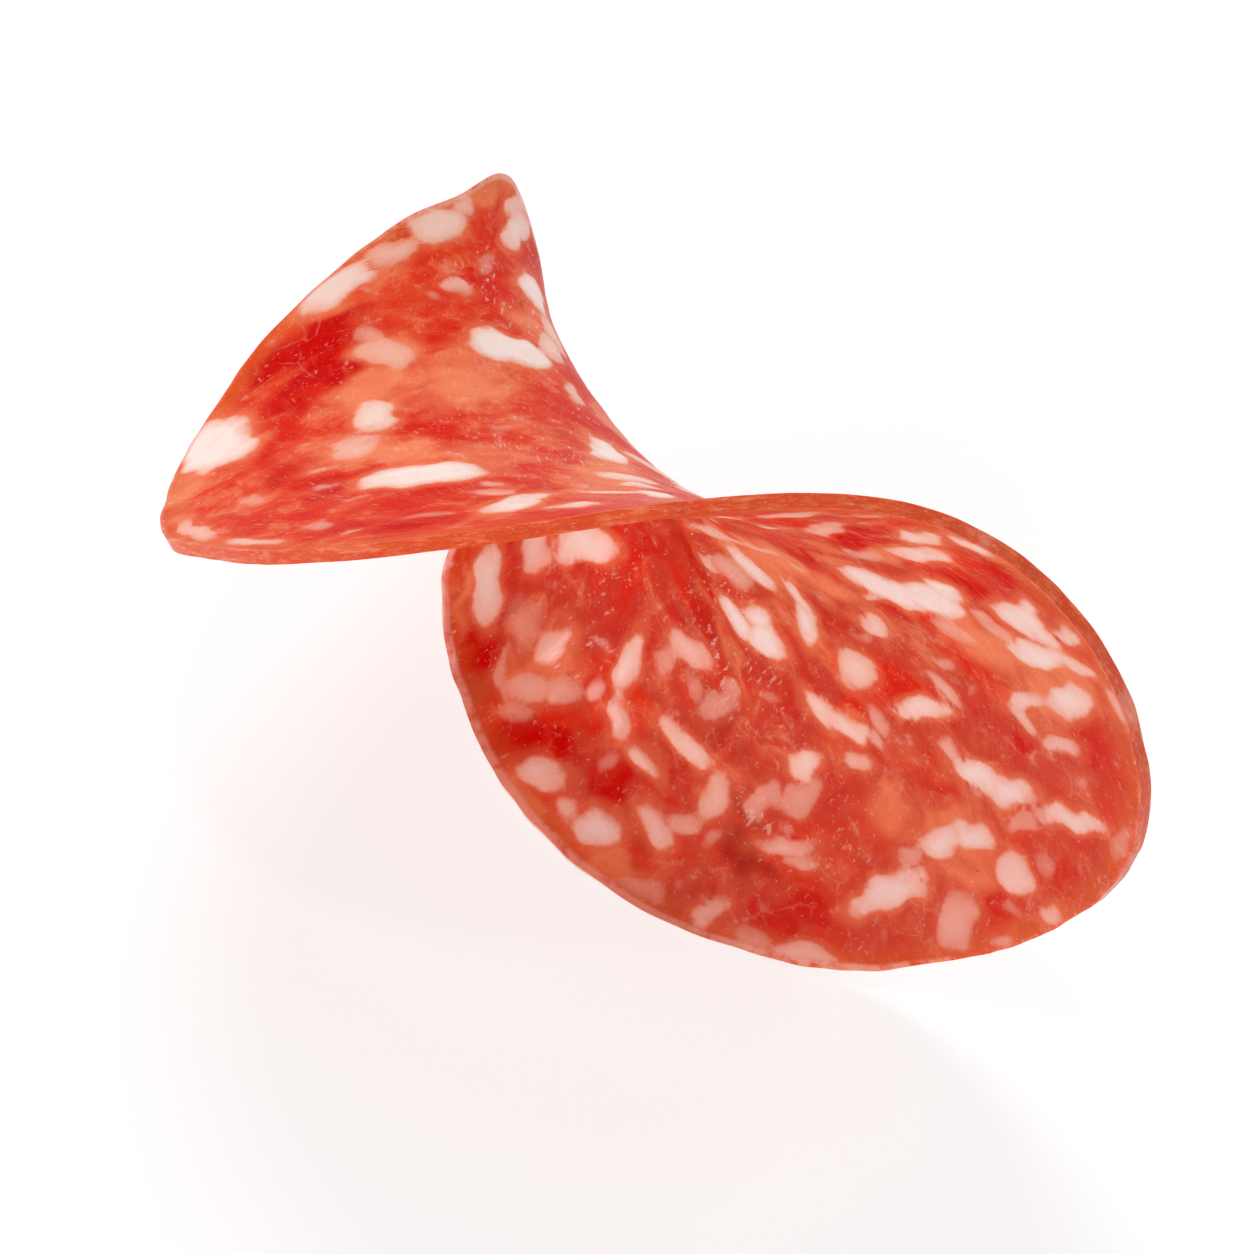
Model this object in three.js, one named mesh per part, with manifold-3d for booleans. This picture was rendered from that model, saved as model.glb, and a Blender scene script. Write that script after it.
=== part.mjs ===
// One thin round slice of cured sausage (salami), cut across the sausage and laid down
// so that it has twisted half a turn about its middle: its left half shows one cut face,
// its right half the other. It stands on the lower stretch of its own rim.
// Millimetres, +Z up, origin on the surface it rests on, below the middle of its outline.
import * as THREE from 'three';
import { mergeVertices } from 'three/addons/utils/BufferGeometryUtils.js';
import Module from 'manifold-3d';

// Driving dimensions
const diameter = 82;        // the flat slice, straight off the slicer
const thickness = 1.0;      // as cut
const rimRound = 0.35;      // how far the cut edge is rounded, seen in section
const restPress = 1.7;      // how far the slice's own weight presses its lowest rim up
const restSoft = 0.7;       // how gently the pressed rim leaves the surface
const restBand = 0.3;       // how much is then flat against the surface
const rings = 14;           // steps from the middle of the slice to its rim
const sectors = 76;         // steps around the rim

// The bend: a net of points that the flat slice's square surround is drawn towards, like a
// sheet hung on a frame. Rows run from the left end of the slice to the right end, and each
// row from the back rim to the front rim. The net is for a slice of this diameter.
const netDiameter = 82;
const net = [
  [[-4, 53, 17], [-25, 18, 43], [-42, -12, 5], [-40, -31, 56]],
  [[-6, 20, -12], [16, 41, 37], [-27, -20, 66], [-15, -32, 52]],
  [[-20, -6, 7], [15, -22, 9], [29, -2, 31], [17, -18, 81]],
  [[0, -38, -7], [35, -10, -15], [37, -39, 43], [37, -38, 50]],
];

// Where the outline stands out from a true circle: degrees round the rim from the left end
// towards the front, how far it reaches out (or in, below nought), and how many degrees the
// reach spreads each way.
const bulges = [
  { at: -50, reach: -1.1, spread: 7 },
  { at: -40, reach: 2.6, spread: 5.5 },
  { at: -20, reach: -0.8, spread: 14 },
  { at: 26, reach: 0.9, spread: 7 },
  { at: 110, reach: 0.6, spread: 12 },
  { at: 160, reach: 0.6, spread: 20 },
  { at: -126, reach: 0.4, spread: 22 },
  { at: -85, reach: 2.0, spread: 12 },
];

const radius = diameter / 2;

// A point part of the way along a row or column of the net, by repeated halving in between.
function along(points, part) {
  let left = points.map((point) => point.clone());
  while (left.length > 1) {
    left = left.slice(1).map((point, i) => left[i].clone().lerp(point, part));
  }
  return left[0];
}

const netPoints = net.map((row) => row.map(([x, y, z]) => (
  new THREE.Vector3(x, y, z).multiplyScalar(diameter / netDiameter)
)));

// Where a place on the flat slice goes: s to the right and w to the front, from its middle.
function bent(s, w) {
  const back = (w / radius + 1) / 2;
  const right = (s / radius + 1) / 2;
  return along(netPoints.map((row) => along(row, back)), right);
}

// The side the upper cut face looks to, from two short steps over the surface.
function upperSide(s, w) {
  const step = 0.01;
  const toRight = bent(s + step, w).sub(bent(s - step, w));
  const toFront = bent(s, w + step).sub(bent(s, w - step));
  return toFront.cross(toRight).normalize();
}

// How far out the rim lies at a place on the flat slice, as a share of the radius.
function outline(s, w) {
  const angle = THREE.MathUtils.radToDeg(Math.atan2(w, -s));
  let reach = radius;
  for (const bulge of bulges) {
    const away = ((angle - bulge.at + 540) % 360 - 180) / bulge.spread;
    reach += bulge.reach * Math.exp(-away * away);
  }
  return reach / radius;
}

// The flat slice turned about its axis: out along the lower face, round the edge, back in.
function flatSlice() {
  const half = thickness / 2;
  const flat = radius - rimRound;
  const profile = [];
  for (let i = 0; i <= rings; i += 1) {
    profile.push(new THREE.Vector2(flat * i / rings, -half));
  }
  profile.push(new THREE.Vector2(radius, -half + rimRound));
  profile.push(new THREE.Vector2(radius, half - rimRound));
  for (let i = rings; i >= 0; i -= 1) {
    profile.push(new THREE.Vector2(flat * i / rings, half));
  }
  return new THREE.LatheGeometry(profile, sectors);
}

// Every point of the flat slice moves with the sheet and keeps its height above it. The
// lowest stretch of the sheet gives way to the surface, and the rest keeps its shape.
function bentSlice() {
  const shape = flatSlice();
  const places = shape.getAttribute('position');
  const flat = new THREE.Vector3();
  const sheet = [];
  for (let i = 0; i < places.count; i += 1) {
    flat.fromBufferAttribute(places, i);
    const share = outline(flat.x, flat.z);
    const s = flat.x * share;
    const w = flat.z * share;
    sheet.push({ middle: bent(s, w), side: upperSide(s, w), height: flat.y });
  }
  const lowest = Math.min(...sheet.map(({ middle }) => middle.z));
  sheet.forEach(({ middle, side, height }, i) => {
    const above = middle.z - lowest - restPress;
    middle.z = (above + Math.hypot(above, restSoft)) / 2;
    middle.addScaledVector(side, height);
    places.setXYZ(i, middle.x, middle.y, middle.z);
  });
  return shape;
}

// A geometry as a closed solid: shared corners merged, triangles with no area left out.
function solidOf(wasm, shape) {
  shape.deleteAttribute('normal');
  shape.deleteAttribute('uv');
  const merged = mergeVertices(shape, 1e-4);
  const corners = merged.index.array;
  const triangles = [];
  for (let i = 0; i < corners.length; i += 3) {
    const [a, b, c] = [corners[i], corners[i + 1], corners[i + 2]];
    if (a !== b && b !== c && c !== a) {
      triangles.push(a, b, c);
    }
  }
  return new wasm.Manifold(new wasm.Mesh({
    numProp: 3,
    vertProperties: merged.getAttribute('position').array,
    triVerts: new Uint32Array(triangles),
  }));
}

// The slice is lowered a little into the surface, cut off level with it, and centred.
function restingSlice(wasm) {
  const shape = bentSlice();
  shape.computeBoundingBox();
  shape.translate(0, 0, -shape.boundingBox.min.z - restBand);
  const room = 4 * diameter;
  const ground = new THREE.BoxGeometry(room, room, room);
  ground.translate(0, 0, -room / 2);
  const cut = solidOf(wasm, shape).subtract(solidOf(wasm, ground)).getMesh();

  const slice = new THREE.BufferGeometry();
  slice.setAttribute('position', new THREE.BufferAttribute(cut.vertProperties, 3));
  slice.setIndex(new THREE.BufferAttribute(cut.triVerts, 1));
  slice.computeBoundingBox();
  const { min, max } = slice.boundingBox;
  slice.translate(-(min.x + max.x) / 2, -(min.y + max.y) / 2, 0);
  slice.computeVertexNormals();
  return slice;
}

const wasm = await Module();
wasm.setup();

const meat = new THREE.MeshStandardMaterial({ color: 0xd8472f, roughness: 0.38, metalness: 0 });
const slice = new THREE.Mesh(restingSlice(wasm), meat);
slice.name = 'salami_slice';

const sausage = new THREE.Group();
sausage.add(slice);

export default sausage;
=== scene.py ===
import math
import random

import bpy
import numpy as np
from mathutils import Matrix, Vector, noise


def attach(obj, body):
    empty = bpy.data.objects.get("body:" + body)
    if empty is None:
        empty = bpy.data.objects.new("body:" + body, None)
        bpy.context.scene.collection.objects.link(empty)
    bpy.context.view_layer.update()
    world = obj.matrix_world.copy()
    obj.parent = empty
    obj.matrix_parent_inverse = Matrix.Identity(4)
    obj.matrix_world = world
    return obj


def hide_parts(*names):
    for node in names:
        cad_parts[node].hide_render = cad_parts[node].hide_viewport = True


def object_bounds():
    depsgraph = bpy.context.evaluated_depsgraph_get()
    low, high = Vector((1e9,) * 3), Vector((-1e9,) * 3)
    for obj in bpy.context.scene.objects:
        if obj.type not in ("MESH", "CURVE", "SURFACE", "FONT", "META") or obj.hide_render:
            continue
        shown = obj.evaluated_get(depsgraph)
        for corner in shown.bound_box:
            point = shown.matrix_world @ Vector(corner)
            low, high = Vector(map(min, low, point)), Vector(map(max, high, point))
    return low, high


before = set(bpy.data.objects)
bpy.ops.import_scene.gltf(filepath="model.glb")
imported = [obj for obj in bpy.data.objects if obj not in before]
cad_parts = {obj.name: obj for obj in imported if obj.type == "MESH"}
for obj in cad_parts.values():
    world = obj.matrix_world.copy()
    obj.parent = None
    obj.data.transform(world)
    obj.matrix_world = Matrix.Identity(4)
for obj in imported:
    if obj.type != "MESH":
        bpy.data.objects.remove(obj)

cad_low, cad_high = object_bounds()

# ---------------------------------------------------------------------------------------------
# The slice's sheet of meat: one thin round slice off a cured sausage, about a millimetre thick.
# It is cut flat, then taken up and set down so that it twists half a turn about its middle and
# stands on the lower stretch of its rim, which its own weight presses flat.
mm = 0.001
slice_across = 82 * mm
slice_thick = 1.0 * mm
slice_reach = slice_across / 2
edge_round = 0.45 * mm
mesh_steps = 200
rest_press = 1.7 * mm
rest_soft = 0.7 * mm
rest_band = 0.3 * mm

# The knife leaves the rim a little ragged: how deep its nicks are in millimetres, and how
# closely they follow one another, for the broad ones and for the fine ones between them.
broad_nick_depth = 0.30
broad_nick_rate = 7
fine_nick_depth = 0.16
fine_nick_rate = 19

# Where the outline stands out from a circle: degrees round the rim from the left end towards
# the front, how far out in millimetres (or in, below nought), and how many degrees it spreads.
rim_bulges = [
    (-50, -1.1, 7), (-40, 2.6, 5.5), (-20, -0.8, 14), (26, 0.9, 7),
    (110, 0.6, 12), (160, 0.6, 20), (-126, 0.4, 22), (-85, 2.0, 12),
]

# The bend, in millimetres: four rows of four points from the left end to the right end, each
# row from the back rim to the front rim. The flat sheet's square surround is drawn to them.
# They are a fitting program's result, rounded to whole millimetres, with two heights changed.
bend_net = np.array([
    [(-4, 53, 17), (-25, 18, 43), (-42, -12, 5), (-40, -31, 56)],
    [(-6, 20, -12), (16, 41, 37), (-27, -20, 66), (-15, -32, 52)],
    [(-20, -6, 7), (15, -22, 9), (29, -2, 31), (17, -18, 81)],
    [(0, -38, -7), (35, -10, -15), (37, -39, 43), (37, -38, 50)],
]) * mm


def cubic_shares(part):
    rest = 1 - part
    return np.stack([rest ** 3, 3 * part * rest ** 2, 3 * part ** 2 * rest, part ** 3], -1)


def bend(right, front):
    """Where places on the flat sheet go; right and front are metres from its middle."""
    along = cubic_shares((right / slice_reach + 1) / 2)
    across = cubic_shares((front / slice_reach + 1) / 2)
    return np.einsum("ni,nj,ijk->nk", along, across, bend_net)


def upper_side(right, front):
    """The way the upper cut face looks at each of these places, once the sheet is bent."""
    step = 0.01 * mm
    to_right = bend(right + step, front) - bend(right - step, front)
    to_front = bend(right, front + step) - bend(right, front - step)
    facing = np.cross(to_front, to_right)
    return facing / np.linalg.norm(facing, axis=1, keepdims=True)


def smooth_noise(places, seed):
    """A smooth noise from -1 to 1 at each of these flat places."""
    return np.array([noise.noise(Vector((x, y, seed))) for x, y in places])


def rim_share(right, front):
    """How far out the rim lies in these directions, as a share of the circle's radius."""
    angle = np.degrees(np.arctan2(front, -right))
    reach = np.full(len(angle), slice_reach)
    for at, out, spread in rim_bulges:
        away = ((angle - at + 540) % 360 - 180) / spread
        reach += out * mm * np.exp(-away * away)
    turn = np.radians(angle)
    round_rim = np.stack([np.cos(turn), np.sin(turn)], 1)
    ragged = broad_nick_depth * smooth_noise(round_rim * broad_nick_rate, 2.5)
    ragged += fine_nick_depth * smooth_noise(round_rim * fine_nick_rate, 7.5)
    return (reach + ragged * mm) / slice_reach


def mesh_places(mesh):
    places = np.empty(len(mesh.vertices) * 3)
    mesh.vertices.foreach_get("co", places)
    return places.reshape(-1, 3)


def set_places(mesh, places):
    mesh.vertices.foreach_set("co", places.astype(np.float32).ravel())
    mesh.update()


bpy.ops.object.select_all(action="DESELECT")
bpy.ops.mesh.primitive_grid_add(x_subdivisions=mesh_steps, y_subdivisions=mesh_steps, size=2)
slice_piece = bpy.context.object
slice_piece.name = "cured_sausage_slice"
slice_mesh = slice_piece.data

# The square grid is drawn in to a disc, so that its steps are even all over the slice.
square = mesh_places(slice_mesh)
disc = np.zeros_like(square)
disc[:, 0] = square[:, 0] * np.sqrt(1 - square[:, 1] ** 2 / 2) * slice_reach
disc[:, 1] = square[:, 1] * np.sqrt(1 - square[:, 0] ** 2 / 2) * slice_reach
disc[:, :2] *= rim_share(disc[:, 0], -disc[:, 1])[:, None]
set_places(slice_mesh, disc)

thickness = slice_piece.modifiers.new("thickness", "SOLIDIFY")
thickness.thickness = slice_thick
thickness.offset = 0
bpy.ops.object.modifier_apply(modifier="thickness")
cut_edge = slice_piece.modifiers.new("cut_edge", "BEVEL")
cut_edge.width = edge_round
cut_edge.segments = 3
cut_edge.limit_method = "ANGLE"
bpy.ops.object.modifier_apply(modifier="cut_edge")

flat = mesh_places(slice_mesh)
right, front, height = flat[:, 0].copy(), -flat[:, 1].copy(), flat[:, 2].copy()
side = np.clip(height / (slice_thick / 2), -1, 1)

# ---------------------------------------------------------------------------------------------
# The fat: pieces of back fat, chopped and stirred into the lean, that the knife has cut through,
# so they show on both faces. Each is (right, front, long, wide, turn, whiteness) on the flat
# slice: millimetres from its middle, degrees from right towards front, and 1 for clean white.
fat_pieces = [
    # back of the right half
    (-1.0, -38.3, 7.0, 2.7, 6, 0.75), (3.5, -35.0, 5.0, 3.0, 20, 0.22),
    (-2.2, -33.4, 3.4, 3.2, 0, 0.55), (-0.7, -27.2, 8.6, 3.2, 75, 0.75),
    (6.0, -32.6, 3.6, 2.0, -62, 0.6), (8.8, -34.6, 3.8, 1.9, 78, 0.5), (9.6, -32.0, 3.4, 2.3, 80, 0.42),
    (7.2, -36.8, 4.2, 1.2, 0, 0.42), (10.3, -36.2, 2.6, 2.2, 30, 0.3),
    (10.3, -29.3, 1.9, 1.2, -60, 0.42), (9.3, -25.5, 6.0, 2.1, -42, 0.75),
    (12.9, -27.8, 2.5, 2.0, 10, 0.6), (15.7, -35.0, 3.6, 2.3, 65, 0.66),
    (18.7, -33.6, 1.9, 1.4, 0, 0.66), (16.3, -26.8, 3.7, 1.7, 36, 0.7),
    (15.7, -29.6, 2.0, 1.2, -50, 0.35), (16.4, -22.4, 5.6, 1.9, 40, 0.7),
    (9.6, -21.3, 3.2, 1.7, -60, 0.4), (9.6, -18.3, 4.6, 2.7, 50, 0.55),
    (14.3, -17.6, 5.0, 2.1, 86, 0.34), (12.3, -19.4, 2.4, 1.7, -20, 0.3),
    (13.4, -15.2, 2.2, 1.6, 30, 0.33), (20.5, -31.8, 3.4, 2.6, 70, 0.8),
    (21.7, -27.3, 3.0, 1.7, 8, 0.68), (21.8, -25.0, 2.8, 1.5, 82, 0.5),
    (20.7, -21.7, 3.8, 2.3, -70, 0.55), (23.6, -23.4, 2.3, 1.2, -75, 0.38),
    (22.2, -17.4, 4.6, 2.1, -65, 0.42), (23.0, -14.0, 5.2, 2.1, -80, 0.42),
    (20.8, -11.9, 3.8, 2.3, 80, 0.72), (25.9, -17.6, 5.0, 1.4, 72, 0.55),
    (27.4, -16.8, 2.8, 1.2, 75, 0.48), (28.8, -26.2, 4.0, 1.6, -52, 0.6),
    (25.8, -30.2, 3.4, 1.7, 60, 0.34), (34.2, -20.9, 5.8, 1.9, 54, 0.6),
    (31.6, -23.6, 2.4, 1.6, 50, 0.4),
    # right end
    (32.4, -11.2, 8.2, 2.9, -87, 0.85), (30.6, -7.6, 2.4, 1.4, 80, 0.45),
    (37.0, -7.4, 6.0, 3.0, -55, 0.48), (22.2, -7.0, 3.0, 1.6, 80, 0.55),
    (8.5, -8.8, 3.8, 2.6, 10, 0.95), (11.0, -7.4, 3.6, 3.4, 80, 0.95), (9.3, -6.3, 2.6, 2.3, 40, 0.9),
    (5.5, -0.8, 5.2, 3.2, 0, 0.85), (5.4, -4.2, 4.0, 3.8, 0, 0.4), (11.3, -0.4, 5.4, 2.7, -60, 0.9),
    (9.3, 1.8, 4.4, 1.9, -25, 0.85), (16.3, 0.6, 5.0, 3.1, -75, 0.62), (17.8, -7.1, 3.2, 1.9, 5, 0.72),
    (19.6, -5.4, 4.2, 1.9, 50, 0.72), (21.8, -3.4, 2.2, 1.2, 20, 0.5),
    (20.4, -1.6, 3.2, 1.8, -40, 0.42), (21.5, 4.0, 6.0, 2.0, 68, 0.8), (21.2, 8.6, 3.6, 1.5, -15, 0.5),
    (14.3, 8.7, 4.0, 2.1, 85, 0.66), (14.9, 5.4, 2.4, 1.1, 70, 0.36), (12.9, 13.3, 2.8, 1.2, 75, 0.62),
    (7.3, 8.4, 1.3, 0.8, 70, 0.5), (19.7, 11.4, 2.2, 1.2, 40, 0.42), (30.7, -4.2, 4.9, 2.3, 82, 0.9),
    (31.5, -1.0, 4.3, 2.7, 60, 0.85), (28.0, 4.0, 4.9, 2.8, 40, 0.95), (30.2, 5.8, 4.9, 2.8, 65, 0.95),
    (25.2, 3.4, 1.9, 1.5, 0, 0.52), (34.7, 10.2, 7.2, 2.3, 57, 0.85), (32.6, 4.6, 3.2, 1.3, 85, 0.42),
    (32.9, 7.2, 1.8, 1.2, 30, 0.5), (35.9, 0.4, 3.8, 3.2, -45, 0.7), (36.6, 4.0, 2.5, 1.7, -60, 0.3),
    (38.0, 14.0, 4.2, 1.5, -75, 0.34), (40.1, 1.4, 2.2, 1.4, 80, 0.6), (40.0, -4.8, 1.8, 1.0, 80, 0.45),
    # front of the right half
    (13.0, 17.4, 7.4, 5.0, 35, 1.0), (16.0, 20.4, 5.4, 4.8, 70, 1.0), (16.3, 23.6, 3.2, 2.8, 80, 1.0),
    (11.4, 16.2, 4.4, 2.2, 80, 0.9), (18.4, 17.2, 3.2, 2.4, 10, 0.36),
    (20.6, 22.4, 3.8, 2.0, -20, 0.42), (10.4, 23.4, 4.4, 1.7, 70, 0.4), (24.5, 23.2, 6.8, 2.7, 55, 0.9),
    (26.9, 26.0, 3.9, 1.6, 45, 0.75), (22.2, 26.7, 5.0, 3.7, 70, 0.82),
    (24.0, 26.9, 3.2, 2.6, 20, 0.75), (22.0, 29.2, 2.4, 1.5, 80, 0.75),
    (25.4, 29.6, 3.2, 1.9, 75, 0.66), (28.2, 21.1, 6.4, 2.9, 75, 0.95),
    (13.9, 29.4, 6.0, 2.7, 60, 0.72), (13.4, 34.2, 5.0, 2.5, 80, 0.72),
    (17.0, 36.8, 3.9, 1.5, -20, 0.7), (7.2, 30.2, 8.4, 2.0, 82, 0.5), (25.8, 15.8, 5.4, 1.7, 82, 0.72),
    (26.5, 13.6, 2.7, 1.7, 0, 0.6), (29.9, 15.4, 4.4, 1.9, 65, 0.6), (31.0, 26.4, 3.0, 1.7, -40, 0.55),
    (9.3, 38.6, 3.2, 1.3, 40, 0.36), (32.9, 14.2, 1.7, 0.8, -80, 0.4),
    # left end
    (-38.0, 6.9, 8.6, 4.6, 52, 1.0), (-35.4, 8.9, 3.4, 2.8, 0, 0.9), (-26.1, 7.0, 4.6, 3.2, 62, 0.72),
    (-25.8, 11.4, 4.2, 3.2, 50, 0.42), (-28.6, -1.7, 5.8, 2.9, 30, 0.48),
    (-31.2, -3.6, 3.6, 2.1, 40, 0.34), (-19.1, 17.7, 8.8, 4.4, -4, 1.0),
    (-12.3, 27.0, 6.4, 3.6, -75, 0.92), (-14.0, 22.8, 2.6, 1.5, 10, 0.45),
    (-14.4, 20.5, 1.8, 1.1, 30, 0.42), (-17.6, 27.8, 3.0, 1.2, 0, 0.28),
    (-24.6, 26.4, 2.6, 1.1, 40, 0.34), (-34.2, 20.4, 7.4, 1.5, 55, 0.5),
    (-29.4, 26.2, 5.4, 1.4, 42, 0.55), (-31.0, 17.4, 3.0, 1.3, 50, 0.3),
    (-20.6, -7.1, 6.6, 4.6, -18, 1.0), (-18.2, -8.3, 3.8, 4.2, 0, 1.0),
    (-17.5, -12.8, 5.4, 2.6, 82, 0.55), (-18.2, -17.4, 6.2, 3.2, 62, 0.5),
    (-22.4, -21.2, 6.0, 4.2, 85, 0.85), (-28.2, -25.6, 7.4, 2.6, 80, 0.72),
    (-30.4, -27.2, 5.0, 2.0, 80, 0.6), (-33.8, -17.7, 5.2, 3.9, -45, 0.66),
    (-35.3, -13.2, 4.4, 3.0, -30, 0.52), (-37.4, -9.0, 5.4, 3.9, -60, 0.76),
    (-33.4, -21.0, 2.5, 2.1, 80, 0.55), (-27.8, -12.3, 2.6, 2.1, 0, 0.52),
    (-29.0, -9.8, 1.8, 1.2, 0, 0.36), (-27.6, -17.0, 3.6, 1.2, 86, 0.28),
    (-8.3, 5.5, 7.4, 3.1, 75, 1.0), (-13.4, -6.6, 4.0, 1.9, 65, 0.52), (-8.6, 30.4, 3.3, 2.2, 20, 0.65),
    # Two pale bands along the ridge of the twist: partly fat, partly a painted highlight where the ridge
    # catches the light.
    (1.9, 0.6, 8.6, 1.5, 68, 0.7), (4.6, 6.6, 6.4, 1.2, 62, 0.6),
    # the strip along the twist, turned away from the front
    (-8.6, -35.2, 5.2, 2.6, -15, 0.8), (-14.6, -33.0, 4.4, 3.2, 40, 0.7),
    (-19.2, -30.6, 5.8, 2.2, -35, 0.85), (-10.4, -28.4, 6.2, 3.0, 62, 0.9),
    (-15.8, -25.6, 3.6, 2.0, 10, 0.5), (-7.0, -22.6, 4.2, 2.2, -50, 0.6),
    (-12.4, -20.4, 5.4, 2.6, 25, 0.8), (-5.4, -16.2, 3.2, 1.9, 80, 0.45),
    (-9.8, -14.4, 4.0, 1.7, -20, 0.6), (-3.6, 22.4, 5.6, 2.4, 75, 0.8), (0.8, 28.6, 4.2, 2.0, 80, 0.6),
    (-5.8, 14.6, 4.4, 2.4, -30, 0.6),
]

# A few more pieces are strewn along the twist, and then the crumbs that the chopping left, all
# over the slice.
strewn = random.Random(11)
for _ in range(16):
    fat_pieces.append((
        strewn.uniform(-7, 4), strewn.uniform(-34, 36), strewn.uniform(2, 6),
        strewn.uniform(1.2, 3), strewn.uniform(0, 180), strewn.uniform(0.4, 0.95),
    ))
for _ in range(170):
    out = 40 * math.sqrt(strewn.random())
    way = strewn.uniform(0, 2 * math.pi)
    fat_pieces.append((
        out * math.cos(way), out * math.sin(way), strewn.uniform(0.6, 1.8),
        strewn.uniform(0.35, 0.8), strewn.uniform(0, 180), strewn.uniform(0.1, 0.4),
    ))


def wandering(places, size, seed):
    """A smooth noise over the flat slice, whose lumps are this many millimetres across."""
    return smooth_noise(places / size, seed)


def along_and_across(off, long, wide, turn):
    """Offsets from the middle of a turned piece, in halves of its length and of its width."""
    level, climb = math.cos(math.radians(turn)), math.sin(math.radians(turn))
    lengthwise = (off[:, 0] * level + off[:, 1] * climb) / (long / 2)
    crosswise = (off[:, 1] * level - off[:, 0] * climb) / (wide / 2)
    return lengthwise, crosswise


# How deep each point lies inside the nearest piece of fat, in millimetres (below nought
# outside it), and how white that piece is. A piece is a rounded block with a wandering edge,
# and it lies a little to one side on one face of the slice and to the other side on the other.
fat_squareness = 2.4
fat_edge_wander = 0.75
fat_slant = np.array([0.15, -0.1])
fat_surround = 3
far_from_fat = -4.0

flat_mm = np.stack([right, front], 1) / mm
wander = np.stack([wandering(flat_mm, 2.1, 3.3), wandering(flat_mm, 2.1, 8.1)], 1)
lumpy = flat_mm + fat_edge_wander * wander + side[:, None] * fat_slant
fat_depth = np.full(len(flat_mm), far_from_fat)
fat_white = np.zeros(len(flat_mm))
for s, w, long, wide, turn, white in fat_pieces:
    near = np.nonzero(np.all(np.abs(lumpy - (s, w)) < long + fat_surround, axis=1))[0]
    lengthwise, crosswise = along_and_across(lumpy[near] - (s, w), long, wide, turn)
    block = np.abs(lengthwise) ** fat_squareness + np.abs(crosswise) ** fat_squareness
    inward = 1 - block ** (1 / fat_squareness)
    outside = np.maximum(inward * (wide + long) / 4, far_from_fat)
    depth = np.where(inward > 0, inward * wide / 2, outside)
    wins = depth > fat_depth[near]
    fat_depth[near[wins]] = depth[wins]
    fat_white[near[wins]] = white


# The lean isn't one red: (right, front, long, wide, turn, strength) on the flat slice.
deep_patches = [
    (4.6, -39.0, 6, 3, 8, 1.0), (-2.5, -35.6, 4.5, 1.6, 10, 0.8), (13.2, -36.4, 4, 4, 0, 0.9),
    (14.4, -33.0, 4, 3, 60, 0.7), (17.6, -30.2, 4.4, 3.6, -20, 1.0), (31.0, -21.4, 3.4, 4.4, 0, 1.0),
    (32.0, -17.8, 4.5, 2.4, 40, 0.9), (-35.0, -3.4, 7, 5, -50, 1.0), (-33.0, 0.6, 6, 6, 30, 0.9),
    (-37.5, -1.5, 4, 5, 0, 0.9), (-34, 4, 7, 3, 50, 0.6), (9.8, 28.5, 13, 2.6, 84, 1.0),
    (18.6, 26.6, 4, 5, 80, 0.9), (20.0, 33.0, 5, 4, -30, 0.7), (28.2, 12.0, 3.4, 2.0, 60, 1.0),
    (37.2, -2.6, 3.6, 2.8, 0, 0.8), (38.0, 5.0, 5, 3.4, 85, 0.7), (27.5, -0.8, 5, 3, 20, 0.5),
    (22.8, -4.4, 3, 2.4, 0, 0.6), (-18.6, 30.2, 7, 4, -10, 0.7), (-29.5, 14.6, 6, 4, 40, 0.5),
    (-26.0, 18.6, 6, 4, 60, 0.6), (14.4, 13.4, 4, 2.6, 40, 0.5), (31.4, 18.4, 5, 7, 80, 0.7),
    (-22.5, 28.0, 6, 3, 30, 0.5), (7.4, 15.5, 12, 2.2, 84, 0.6), (-20.5, 24, 4, 5, 0, 0.35),
    (1.5, -18, 3, 9, 0, 0.5), (19, -24, 6, 3, 0, 0.3), (-30, -8, 4, 4, 0, 0.3),
]
# Darker brown patches: some are the lean's own dark spots, and those along the fold, the first three
# among them, are painted shade where one side of the fold turns from the light.
dark_and_shade_patches = [
    (2.0, -10.5, 12, 8, -30, 0.55), (8.5, -15.0, 12, 9, -30, 0.6), (15.0, -18.5, 11, 9, -40, 0.6),
    (25.6, -21.6, 5.6, 4.4, 0, 1.0), (22.6, -19.6, 5, 2.6, 0, 0.85), (27.2, -20.4, 3, 2.8, 60, 0.8),
    (18.4, -17.8, 8, 4, 20, 0.6), (38.6, 10.0, 3, 4, 0, 0.5), (12.0, -15.4, 9, 3.6, 10, 0.5),
    (21, -10, 4, 4, 0, 0.25), (28.4, -23.6, 3, 2, 0, 0.4), (5.2, -10.4, 9, 3.4, -60, 0.55),
    (2.6, -5.0, 4, 2.2, -60, 0.5), (4.6, -19.0, 4, 12, 0, 0.35),
]
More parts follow.
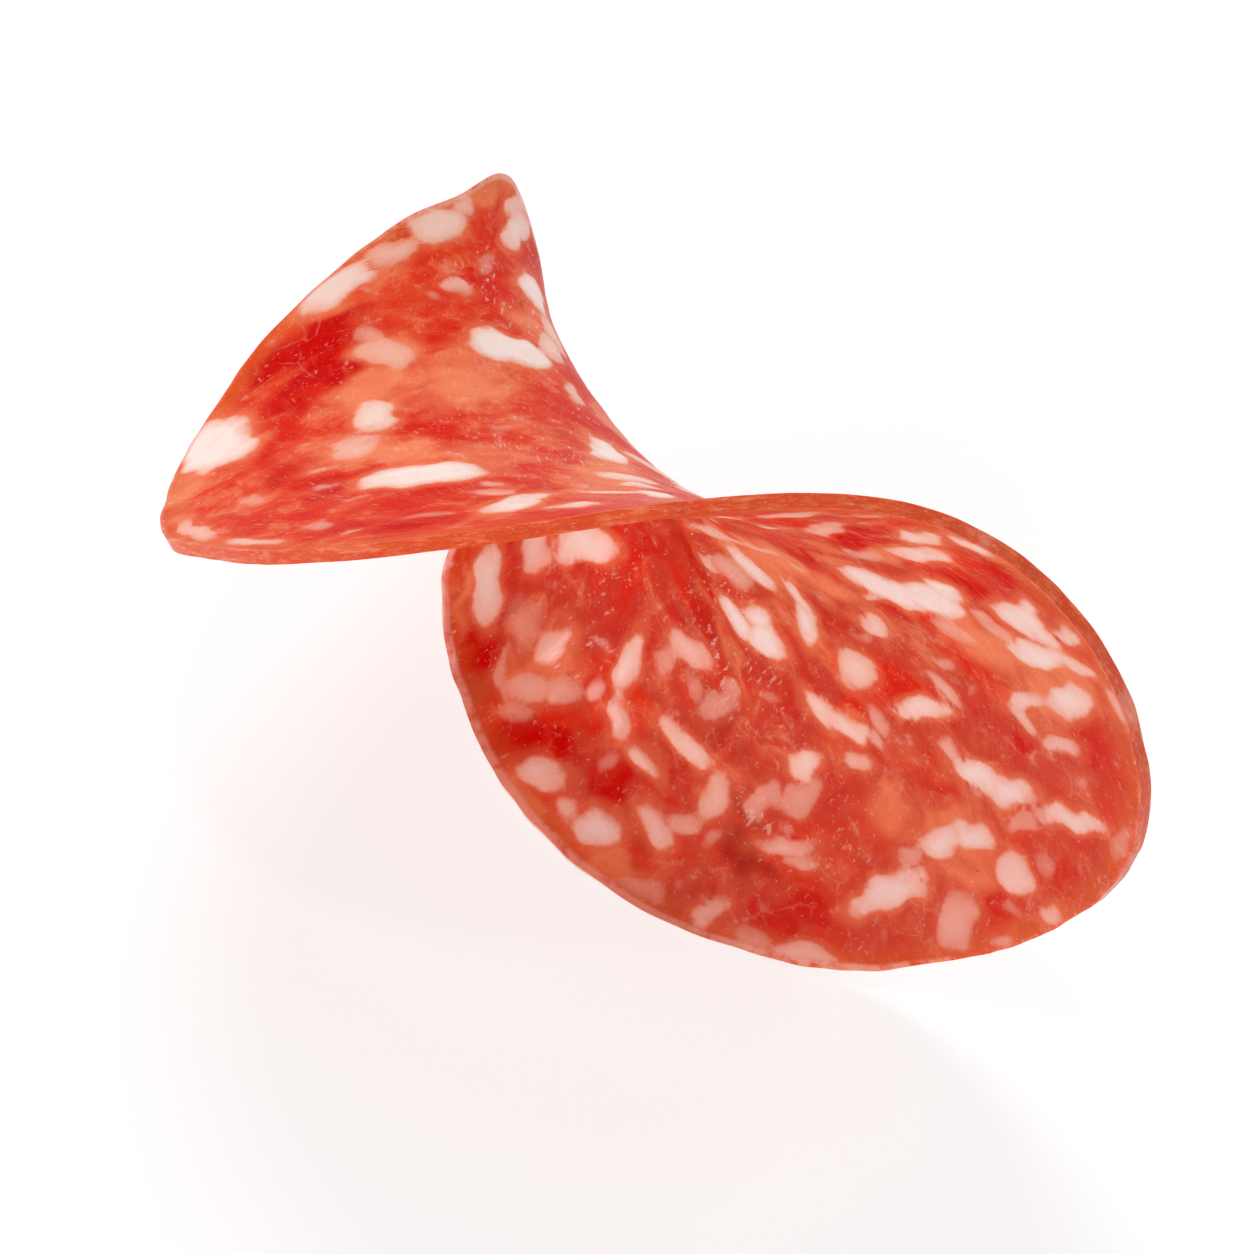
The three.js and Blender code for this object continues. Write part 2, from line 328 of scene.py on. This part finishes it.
# Salmon smears of fat through the lean, and a painted highlight along the twist's ridge.
salmon_and_highlight_patches = [
    (-33.4, -25.4, 3.4, 8, 0, 1.0), (-38.4, 12.6, 5, 4, 50, 1.0), (-36, 17, 5, 2, 50, 0.7),
    (-21.5, 1.0, 9, 11, 0, 0.9), (-23.0, 13.0, 11, 5, 0, 0.9), (-27.5, 3.0, 7, 9, 30, 0.9),
    (-28.8, -2.0, 7, 5, 0, 0.9), (5.6, 6.0, 7, 12, 0, 0.95), (21.4, 18.6, 9, 8, 0, 0.9),
    (24.0, -31.6, 6, 4, 45, 0.8),
    (18.5, -36.8, 9, 2.4, 28, 0.9), (27.0, -7.0, 6, 7, 0, 0.7), (-15.4, 13.5, 8, 6, 0, 0.7),
    (-7.5, 14.0, 6, 18, 0, 0.8), (-20.5, -14.0, 6, 9, 0, 0.7), (10.0, 9.0, 6, 8, 0, 0.8),
    (34.0, -3.4, 4, 6, 0, 0.8), (5.0, -35.0, 9, 6, 0, 0.5), (0.0, -40.8, 9, 1.6, 4, 0.8),
    (10.0, -13.0, 12, 2.6, -12, 0.6), (-24.5, -16.5, 4, 8, 0, 0.3), (12.0, 25.5, 5, 4, 0, 0.6),
    (-10.0, -8.0, 5, 10, -30, 0.7), (17, 10, 4, 5, 0, 0.35), (8, 20, 3, 12, 0, 0.6),
    # The first two patches here lie along the ridge of the twist: partly salmon smear, partly a painted
    # highlight where the ridge catches the light.
    (2.4, 1.0, 3.4, 9, 25, 1.0), (6.4, 8.6, 4, 9, 35, 1.0), (7.6, -33.0, 6, 9, 20, 0.7),
    (26.5, 19.0, 4, 8, 30, 0.9), (26.5, 23.5, 5, 5, 0, 0.9), (29.5, -2.0, 6, 8, 0, 0.7),
]
# Where its oil has gathered and it shines, and where the painted glints crowd thickest.
gloss_and_glint_patches = [
    (6.0, -10.0, 9, 3, -60, 0.9), (11.0, -15.5, 9, 3.4, -15, 1.0), (24.5, -19.0, 6, 3, 20, 0.8),
    (1.0, -25.0, 8, 5, 60, 0.6), (27.0, -14.0, 6, 4, 60, 0.5), (-12.0, 12.0, 10, 4, 20, 0.5),
    (-26.0, -14.0, 10, 5, 30, 0.6), (-24.0, 12.0, 9, 3, 0, 0.5), (8.0, -8.0, 15, 4, -26, 0.9),
]
patch_edge_wander = 1.6


def patches(listed, edge):
    """How far each point of the slice is inside any of these soft-edged patches, 0 to 1."""
    most = np.zeros(len(flat_mm))
    places = flat_mm + patch_edge_wander * wander
    for s, w, long, wide, turn, strength in listed:
        lengthwise, crosswise = along_and_across(places - (s, w), long, wide, turn)
        inside = np.exp(-edge * (lengthwise ** 2 + crosswise ** 2))
        most = np.maximum(most, strength * inside)
    return most


# Where the sheet is wrung, its fibres and creases run together at the front of the twist: each
# point's direction and distance from there.
wring_place = np.array([-3.0, 41.0])
from_wring = flat_mm - wring_place
fan_turn = np.arctan2(from_wring[:, 0], -from_wring[:, 1])
fan_far = np.hypot(from_wring[:, 0], from_wring[:, 1])
rim_far = slice_reach / mm * rim_share(right, front) - np.hypot(flat_mm[:, 0], flat_mm[:, 1])

# One fold stands out of the lower face, along these places in millimetres from the middle. It
# dies away before it reaches the rim.
fold_line = np.array([
    (0.0, -5.0), (6.0, -8.0), (11.0, -10.0), (15.5, -12.5), (19.5, -16.0), (23.0, -20.0),
])
fold_height = 0.8
fold_half_width = 3.0
fold_ends_right = 24
fold_fades_over = 10

fold_far = np.full(len(flat_mm), np.inf)
for near_end, far_end in zip(fold_line[:-1], fold_line[1:]):
    run = far_end - near_end
    part = np.clip((flat_mm - near_end) @ run / (run @ run), 0, 1)
    gap = flat_mm - near_end - part[:, None] * run
    fold_far = np.minimum(fold_far, np.hypot(gap[:, 0], gap[:, 1]))
fold_fade = np.clip((fold_ends_right - flat_mm[:, 0]) / fold_fades_over, 0, 1)
fold = np.exp(-(fold_far / fold_half_width) ** 2) * fold_fade

# Drying draws the lean down between the firmer fat, and the wrung sheet keeps long soft creases.
# All of these are in millimetres.
fat_proud = 0.07
crease_height = 0.16
swell_height = 0.15
fine_swell_height = 0.04

fat_stands = np.clip(fat_depth / 0.5, -0.4, 1) * np.clip(fat_white * 1.6, 0, 1)
crease = smooth_noise(np.stack([fan_turn * 9, fan_far * 0.05], 1), 5.5)
crease *= np.clip((fan_far - 3) / 12, 0, 1) * np.clip(1.25 - fan_far / 60, 0, 1)
whole_sheet = crease_height * crease + swell_height * wandering(flat_mm, 8, 1.7) - fold_height * fold
each_face = fat_proud * fat_stands + fine_swell_height * wandering(flat_mm, 2.6, 6.2)
relief = whole_sheet + each_face * side
edge_fade = np.clip(rim_far / 1.5, 0.25, 1)

places = bend(right, front)
above = places[:, 2] - (places[:, 2].min() + rest_press)
places[:, 2] = (above + np.hypot(above, rest_soft)) / 2
places += upper_side(right, front) * (height + relief * mm * edge_fade)[:, None]
places[:, 2] = np.maximum(places[:, 2] - places[:, 2].min() - rest_band, 0)
middle = (places.min(0) + places.max(0)) / 2
cad_middle = (np.array(cad_low) + np.array(cad_high)) / 2
places[:, :2] += (cad_middle - middle)[:2]
set_places(slice_mesh, places)
bpy.ops.object.shade_smooth()
bpy.ops.object.mode_set(mode="EDIT")
bpy.ops.mesh.select_all(action="SELECT")
bpy.ops.mesh.normals_make_consistent(inside=False)
bpy.ops.object.mode_set(mode="OBJECT")

# The two cut faces read their colours this many millimetres apart, so that they differ.
faces_apart = 4.4


def keep(name, values):
    """Stores a number, or three, for each point of the slice, for its material to read."""
    kind, key = ("FLOAT", "value") if values.ndim == 1 else ("FLOAT_VECTOR", "vector")
    stored = slice_mesh.attributes.new(name, kind, "POINT")
    stored.data.foreach_set(key, values.astype(np.float32).ravel())


keep("flat_place", np.stack([flat_mm[:, 0], flat_mm[:, 1], faces_apart / 2 * side], 1))
keep("fan_place", np.stack([fan_turn, fan_far, side], 1))
keep("fat_depth", fat_depth)
keep("fat_white", fat_white)
keep("deep", patches(deep_patches, 1.1))
keep("dark", patches(dark_and_shade_patches, 1.2))
keep("warm", patches(salmon_and_highlight_patches, 1.0))
keep("gloss_and_glint", patches(gloss_and_glint_patches, 1.0))
keep("rim_far", rim_far)

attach(slice_piece, "root")
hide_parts("salami_slice")


# ---------------------------------------------------------------------------------------------
# The meat's finish: lean from deep red to salmon, with the fat, crumbs, sinew and pores in it,
# under a thin film of its own oil, and with some shade and highlights painted into its colour.
def link(tree, socket, value):
    if isinstance(value, Flow):
        tree.links.new(value.socket, socket)
    elif value is not None:
        socket.default_value = value


class Flow:
    """A value on its way through a material's nodes; sums of flows add the nodes they need."""

    def __init__(self, tree, socket=None):
        self.tree = tree
        self.socket = socket

    def node(self, kind, settings, sockets, result=0):
        made = self.tree.nodes.new(kind)
        for name, value in settings.items():
            setattr(made, name, value)
        for name, value in sockets.items():
            link(self.tree, made.inputs[name], value)
        return Flow(self.tree, made.outputs[result])

    def math(self, operation, first, second):
        return self.node("ShaderNodeMath", {"operation": operation}, {0: first, 1: second})

    def __add__(self, other):
        return self.math("ADD", self, other)

    def __radd__(self, other):
        return self.math("ADD", other, self)

    def __sub__(self, other):
        return self.math("SUBTRACT", self, other)

    def __rsub__(self, other):
        return self.math("SUBTRACT", other, self)

    def __mul__(self, other):
        return self.math("MULTIPLY", self, other)

    def __rmul__(self, other):
        return self.math("MULTIPLY", other, self)


meat = bpy.data.materials.new("cured_meat")
meat.use_nodes = True
tree = meat.node_tree
shader = tree.nodes["Principled BSDF"]
start = Flow(tree)


def stored(name, result="Fac"):
    return start.node("ShaderNodeAttribute", {"attribute_name": name}, {}, result)


def rise(value, low, high):
    """0 below low, 1 above high, and a soft step between."""
    return start.node(
        "ShaderNodeMapRange", {"interpolation_type": "SMOOTHSTEP"},
        {"Value": value, "From Min": low, "From Max": high},
    )


def grain(place, size, detail=3.0, rough=0.55, bent=0.0):
    """Noise from 0 to 1 whose lumps are about this many millimetres across."""
    return start.node(
        "ShaderNodeTexNoise", {},
        {"Vector": place, "Scale": 1 / size, "Detail": detail, "Roughness": rough, "Distortion": bent},
        "Fac",
    )


def sway(noise_value, amount):
    """How much a noise raises or lowers a value, so that an edge wanders."""
    return (noise_value - 0.5) * amount


def stretched(place, amounts):
    return start.node("ShaderNodeVectorMath", {"operation": "MULTIPLY"}, {0: place, 1: amounts})


def shifted(place, amounts):
    return start.node("ShaderNodeVectorMath", {"operation": "ADD"}, {0: place, 1: amounts})


def part_of(place, axis):
    return start.node("ShaderNodeSeparateXYZ", {}, {0: place}, axis)


def colours(share, first, second):
    return start.node(
        "ShaderNodeMix", {"data_type": "RGBA"}, {"Factor": share, 6: first, 7: second}, 2,
    )


flat_place = stored("flat_place", "Vector")
fan_place = stored("fan_place", "Vector")
place_right = part_of(flat_place, 0)
place_front = part_of(flat_place, 1)
wring_far = part_of(fan_place, 1)
fat_in = stored("fat_depth")
white = stored("fat_white")
deep = stored("deep")
dark = stored("dark")
warm = stored("warm")
gloss_and_glint = stored("gloss_and_glint")
rim = stored("rim_far")

deep_red = (0.58, 0.001, 0.001, 1)
lean_red = (0.68, 0.014, 0.004, 1)
dusky_red = (0.55, 0.056, 0.030, 1)
bright_red = (0.75, 0.062, 0.018, 1)
salmon = (0.88, 0.24, 0.108, 1)
orange = (0.70, 0.15, 0.028, 1)
brown_red = (0.33, 0.013, 0.008, 1)
# The rim's red is partly painted light: mixed lighter to stand in for light on a wall the lamps hardly
# reach.
rim_red_painted_lighter = (0.72, 0.075, 0.022, 1)
fat_pale = (0.87, 0.45, 0.34, 1)
fat_clean = (0.90, 0.72, 0.66, 1)
painted_glint_white = (0.95, 0.85, 0.8, 1)

elsewhere = shifted(flat_place, (57, 31, 9))
broad = grain(flat_place, 8.0, 3, 0.5, 0.4)
broad_deep = grain(elsewhere, 5.5, 3, 0.5, 0.3)
middling = grain(flat_place, 2.4, 5, 0.6, 0.5)
small = grain(flat_place, 0.8, 5, 0.65)
specks = grain(elsewhere, 0.42, 2, 0.5, 0.4)
wander_colour = start.node(
    "ShaderNodeTexNoise", {}, {"Vector": flat_place, "Scale": 1 / 1.8, "Detail": 3}, "Color",
)
strokes = grain(stretched(fan_place, (140, 0.8, 1)), 1.0, 2, 0.5, 0.3)
fibre = grain(stretched(fan_place, (26, 0.12, 1)), 1.0, 4, 0.6)
fine_fibre = grain(stretched(fan_place, (80, 0.35, 1)), 1.0, 3, 0.6)

# Lean: reds that deepen and pale in soft patches, smeared with fat along the fibres.
lean = colours(rise(broad + sway(middling, 0.5), 0.36, 0.66), lean_red, bright_red)
dulled = rise(place_right, -8, 6) * rise(broad_deep + sway(broad, 0.5), 0.34, 0.56)
lean = colours(dulled * 0.85, lean, dusky_red)
haze = rise(middling + sway(broad, 0.9) + sway(small, 0.3), 0.5, 0.8)
lean = colours(haze * 0.45, lean, salmon)
# Painted shade: the lean darkens towards dusky red at the right end.
lean = colours(rise(place_right, 20, 36) * 0.45, lean, dusky_red)
lean = colours(rise(warm + sway(middling, 0.5), 0.1, 0.85) * 0.85, lean, salmon)
lean = colours(rise(broad_deep + sway(small, 0.2), 0.52, 0.7) * (1 - warm) * 0.5, lean, deep_red)
lean = colours(rise(deep + sway(middling, 0.6), 0.12, 0.62) * 0.96, lean, deep_red)
# Painted shade along the fold, and the lean's own dark spots, in brown-red.
lean = colours(rise(dark + sway(middling, 0.35), 0.2, 0.95) * 0.8, lean, brown_red)
lean = colours(rise(fibre, 0.54, 0.74) * 0.25, lean, salmon)
wrung = 1 - rise(wring_far, 6, 36)
lean = colours(rise(fine_fibre, 0.54, 0.72) * (wrung * 0.45 + 0.08), lean, salmon)
lean = colours((1 - rise(fine_fibre, 0.3, 0.44)) * (wrung * 0.5 + 0.1), lean, deep_red)
near_rim = 1 - rise(rim + sway(middling, 2.4), 0.4, 2.8)
lean = colours(near_rim * 0.42, lean, orange)

# Sinew: fine pale lines between the lumps of meat, here and there.
lump_place = shifted(flat_place, stretched(wander_colour, (1.6, 1.6, 0)))
lump_edge = start.node(
    "ShaderNodeTexVoronoi", {"feature": "DISTANCE_TO_EDGE"},
    {"Vector": lump_place, "Scale": 1 / 3.2}, "Distance",
)
sinew = (1 - rise(lump_edge, 0.005, 0.04)) * rise(middling + sway(broad, 0.6), 0.46, 0.62)
lean = colours(sinew * 0.13, lean, fat_pale)

# Specks of fat and gristle through the lean, thicker in some places, and a few dark pores.
speckled = rise(specks + sway(middling, 0.3), 0.66, 0.74)
lean = colours(speckled * 0.3, lean, fat_pale)
# Pale strokes along the fibres: partly fat, partly painted glints, thicker in the glossy patches.
fat_and_glint_strokes = rise(strokes + sway(middling, 0.2) + gloss_and_glint * 0.12, 0.66, 0.76)
lean = colours(fat_and_glint_strokes * (0.3 + gloss_and_glint * 0.3), lean, fat_pale)
lean = colours((1 - rise(specks, 0.25, 0.3)) * 0.4, lean, brown_red)

# Fat: white at the heart of a big piece and pink where lean lies over it.
fat_edge = fat_in + sway(small, 0.5) + sway(middling, 0.7)
halo = rise(fat_edge, -1.7, 0.1) * rise(white, 0.1, 0.9)
lean = colours(halo * 0.5, lean, salmon)
solid_fat = rise(fat_edge, -0.25, 0.3)
heart = rise(fat_edge + sway(small, 0.6), -0.1, 1.1) * rise(white, 0.35, 1.0)
fat_tone = colours(heart, fat_pale, fat_clean)
fat_tone = colours(rise(middling + sway(small, 0.5), 0.48, 0.78) * 0.35, fat_tone, fat_pale)
cover = rise(white + rise(fat_edge, 0.0, 1.2) * 0.15, 0.05, 0.85)
meat_colour = colours(solid_fat * cover, lean, fat_tone)
# Painted shade: fat and lean alike darken a little towards dusky red at the right end.
meat_colour = colours(rise(place_right, 14, 36) * 0.3, meat_colour, dusky_red)

# Painted highlights: tiny near-white glints, like fine drops of oil, thicker where the slice is glossy.
painted_glints = rise(grain(flat_place, 0.3, 1, 0.5), 0.7, 0.76)
meat_colour = colours(painted_glints * (0.1 + gloss_and_glint * 0.45), meat_colour, painted_glint_white)

# The cut rim: its own drier, warmer red, mixed lighter where the wall gets little light, with pale
# patches and specks of painted highlight where the rounded edge catches the light, thickest along the
# back.
back_rim = rise(-1 * place_front, 4, 22)
at_rim = 1 - rise(rim - back_rim * 0.4, 0.05, 0.45)
rim_painted_highlight = colours(back_rim, salmon, fat_pale)
rim_tone = colours(rise(small + sway(middling, 1.2) + back_rim * 0.25, 0.42, 0.8), rim_red_painted_lighter, rim_painted_highlight)
rim_tone = colours(rise(specks, 0.6, 0.7) * 0.5, rim_tone, fat_pale)
meat_colour = colours(at_rim * 0.6, meat_colour, rim_tone)

# The film of oil lies on the fat and in fine drops and streaks over the lean.
streaks = rise(strokes + sway(middling, 0.3) + gloss_and_glint * 0.14, 0.62, 0.7)
wet = solid_fat * (0.35 + gloss_and_glint * 0.5) + streaks * (0.4 + gloss_and_glint * 0.5) + at_rim * small * 0.8

link(tree, shader.inputs["Base Color"], meat_colour)
link(tree, shader.inputs["Roughness"], 0.24 + small * 0.22 + solid_fat * 0.06)
shader.inputs["IOR"].default_value = 1.42
shader.inputs["Specular IOR Level"].default_value = 0.015
link(tree, shader.inputs["Coat Weight"], wet)
shader.inputs["Coat Roughness"].default_value = 0.16
shader.inputs["Subsurface Weight"].default_value = 0.25
shader.inputs["Subsurface Radius"].default_value = (1.0, 0.35, 0.22)
shader.inputs["Subsurface Scale"].default_value = 0.9 * mm

roughness_bump = specks * 0.6 + strokes * 0.5 + fine_fibre * 0.35 + middling * 0.6 + at_rim * small * 0.9
skin = start.node(
    "ShaderNodeBump", {},
    {"Strength": 0.55, "Distance": 0.12 * mm, "Height": roughness_bump + solid_fat * 0.3},
)
link(tree, shader.inputs["Normal"], skin)
slice_mesh.materials.clear()
slice_mesh.materials.append(meat)

# ---------------------------------------------------------------------------------------------
# The setting: a plain pale floor that glows a little, soft lamps and the camera. None of them
# is part of the slice. The camera looks down at the slice from the front left, and is rolled.
bpy.ops.object.select_all(action="DESELECT")
floor_across = 4
floor_gap = 0.05 * mm
bpy.ops.mesh.primitive_plane_add(size=floor_across, location=(0, 0, -floor_gap))
floor = bpy.context.object
floor.name = "floor"
floor_finish = bpy.data.materials.new("floor_finish")
floor_finish.use_nodes = True
floor_shader = floor_finish.node_tree.nodes["Principled BSDF"]
floor_shader.inputs["Base Color"].default_value = (0.35, 0.35, 0.35, 1)
floor_shader.inputs["Roughness"].default_value = 0.9
floor_shader.inputs["Specular IOR Level"].default_value = 0.1
floor_shader.inputs["Emission Color"].default_value = (1, 1, 1, 1)
floor_shader.inputs["Emission Strength"].default_value = 0.7
floor.data.materials.append(floor_finish)

world = bpy.data.worlds.new("studio")
bpy.context.scene.world = world
world.use_nodes = True
world.node_tree.nodes["Background"].inputs["Color"].default_value = (1, 1, 1, 1)
world.node_tree.nodes["Background"].inputs["Strength"].default_value = 0.3

aim = Vector((2.7, -1.0, 17.5)) * mm


def lamp(name, place, size, power):
    light = bpy.data.lights.new(name, "AREA")
    light.shape = "DISK"
    light.size = size
    light.energy = power
    holder = bpy.data.objects.new(name, light)
    bpy.context.scene.collection.objects.link(holder)
    holder.location = place
    holder.rotation_mode = "QUATERNION"
    holder.rotation_quaternion = (aim - Vector(place)).to_track_quat("-Z", "Y")


lamp("key_lamp", (-0.05, -0.8, 0.26), 0.35, 2.4)
lamp("back_lamp", (-0.12, 0.42, 0.7), 0.35, 3.1)
lamp("left_lamp", (-0.75, -0.02, 0.22), 0.3, 1.7)
lamp("glint_lamp", (-0.1, -0.1, 0.85), 0.05, 0.6)
lamp("right_lamp", (0.7, 0.4, 0.35), 0.3, 1.0)

view_azimuth = math.radians(-11.4)
view_elevation = math.radians(54)
view_roll = math.radians(14.1)
view_distance = 0.41
view_shift = Vector((-2.24 * mm, -4.17 * mm, 0))
back = Vector((
    math.sin(view_azimuth) * math.cos(view_elevation),
    -math.cos(view_azimuth) * math.cos(view_elevation),
    math.sin(view_elevation),
))
camera_data = bpy.data.cameras.new("camera")
camera_data.sensor_width = 36
camera_data.lens = 158
camera_data.clip_start = 0.01
camera_data.clip_end = 10
camera = bpy.data.objects.new("camera", camera_data)
bpy.context.scene.collection.objects.link(camera)
camera.location = aim + back * view_distance
upright = (-back).to_track_quat("-Z", "Y").to_matrix()
rolled = upright @ Matrix.Rotation(view_roll, 3, "Z")
toward = (rolled @ (view_shift - Vector((0, 0, view_distance)))).normalized()
side_way = toward.cross(rolled.col[1]).normalized()
facing = Matrix((side_way, side_way.cross(toward), -toward)).transposed()
camera.rotation_mode = "QUATERNION"
camera.rotation_quaternion = facing.to_quaternion()
bpy.context.scene.camera = camera
bpy.context.scene.view_settings.view_transform = "Standard"
